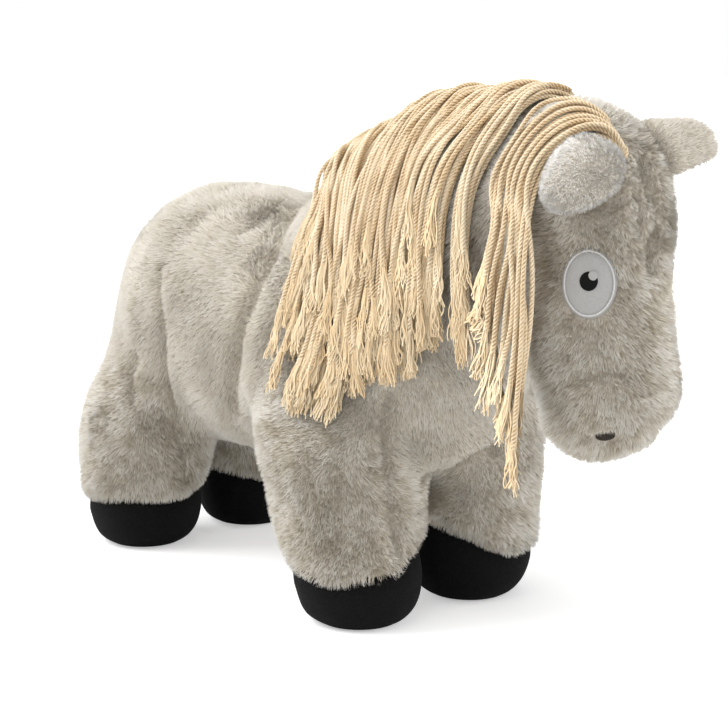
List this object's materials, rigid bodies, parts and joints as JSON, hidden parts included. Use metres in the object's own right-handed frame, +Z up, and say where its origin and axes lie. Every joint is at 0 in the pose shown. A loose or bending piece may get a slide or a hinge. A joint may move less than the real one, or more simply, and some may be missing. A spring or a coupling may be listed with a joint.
{
  "type": "stuffed toy pony",
  "caption": "Standing stuffed toy pony of grey plush with black fabric hooves, embroidered eyes, floppy ears and a mane, forelock and tail of cream cotton cord",
  "frame": {"origin": "on the floor under the middle of the pony's length, on the mid plane between its left and right legs", "axes": "+X forward to the muzzle, +Y to the pony's left, +Z up"},
  "size_m": [0.4638, 0.1792, 0.2927],
  "materials": {
    "plush": "short grey plush pile",
    "ear_lining": "short pale grey plush pile",
    "filling": "loose white fibre filling",
    "hoof_cloth": "black woven cloth",
    "sole_cloth": "black woven cloth",
    "eye_satin": "silver grey satin stitch",
    "eye_thread": "white satin stitch",
    "pupil_thread": "black satin stitch",
    "nostril_thread": "dark grey stitch",
    "cord": "twisted cream cotton cord",
    "tape": "woven cotton tape"
  },
  "bodies": {
    "torso": {"belly_panel": "plush", "body_panel_left": "plush", "body_panel_right": "plush", "body_filling": "filling", "neck_panel_left": "plush", "neck_panel_right": "plush", "neck_filling": "filling", "mane_cords": "cord", "mane_tape": "tape", "tail_tab": "tape"},
    "head": {"forehead_panel": "plush", "chin_panel": "plush", "head_panel_left": "plush", "head_panel_right": "plush", "head_filling": "filling", "eye_patch_left": "eye_satin", "eye_patch_right": "eye_satin", "eye_rim_left": "eye_thread", "eye_rim_right": "eye_thread", "eye_pupil_left": "pupil_thread", "eye_pupil_right": "pupil_thread", "eye_glint_left": "eye_thread", "eye_glint_right": "eye_thread", "nostril_stitch_left": "nostril_thread", "nostril_stitch_right": "nostril_thread", "poll_cords": "cord", "poll_tape": "tape", "forelock_cords": "cord"},
    "ear_left": {"ear_back_left": "plush", "ear_lining_left": "ear_lining"},
    "ear_right": {"ear_back_right": "plush", "ear_lining_right": "ear_lining"},
    "tail": {"tail_cords": "cord"},
    "leg_front_left": {"leg_cover_front_left": "plush", "hoof_front_left": "hoof_cloth", "sole_front_left": "sole_cloth", "leg_filling_front_left": "filling"},
    "leg_front_right": {"leg_cover_front_right": "plush", "hoof_front_right": "hoof_cloth", "sole_front_right": "sole_cloth", "leg_filling_front_right": "filling"},
    "leg_hind_left": {"leg_cover_hind_left": "plush", "hoof_hind_left": "hoof_cloth", "sole_hind_left": "sole_cloth", "leg_filling_hind_left": "filling"},
    "leg_hind_right": {"leg_cover_hind_right": "plush", "hoof_hind_right": "hoof_cloth", "sole_hind_right": "sole_cloth", "leg_filling_hind_right": "filling"}
  },
  "joints": [
    {"name": "head_nod", "type": "hinge", "parent": "torso", "child": "head", "pos_m": [0.14654, 0, 0.232], "axis": [0, 1, 0], "range_deg": [-6, 8], "stiffness_Nm_per_rad": 1.5},
    {"name": "ear_left_fold", "type": "hinge", "parent": "head", "child": "ear_left", "pos_m": [0.19934, 0.0293, 0.26238], "axis": [1, 0, 0], "range_deg": [-20, 30], "stiffness_Nm_per_rad": 0.05},
    {"name": "ear_right_fold", "type": "hinge", "parent": "head", "child": "ear_right", "pos_m": [0.19934, -0.0293, 0.26238], "axis": [-1, 0, 0], "range_deg": [-12, 65], "stiffness_Nm_per_rad": 0.05},
    {"name": "tail_swing", "type": "hinge", "parent": "torso", "child": "tail", "pos_m": [-0.21906, 0, 0.19428], "axis": [1, 0, 0], "range_deg": [-25, 25]},
    {"name": "leg_front_left_swing", "type": "hinge", "parent": "torso", "child": "leg_front_left", "pos_m": [0.03354, 0.049, 0.108], "axis": [0, 1, 0], "range_deg": [-6, 6], "stiffness_Nm_per_rad": 3},
    {"name": "leg_front_right_swing", "type": "hinge", "parent": "torso", "child": "leg_front_right", "pos_m": [0.03354, -0.049, 0.108], "axis": [0, 1, 0], "range_deg": [-6, 6], "stiffness_Nm_per_rad": 3},
    {"name": "leg_hind_left_swing", "type": "hinge", "parent": "torso", "child": "leg_hind_left", "pos_m": [-0.16446, 0.043, 0.108], "axis": [0, 1, 0], "range_deg": [-6, 6], "stiffness_Nm_per_rad": 3},
    {"name": "leg_hind_right_swing", "type": "hinge", "parent": "torso", "child": "leg_hind_right", "pos_m": [-0.16446, -0.043, 0.108], "axis": [0, 1, 0], "range_deg": [-6, 6], "stiffness_Nm_per_rad": 3}
  ]
}
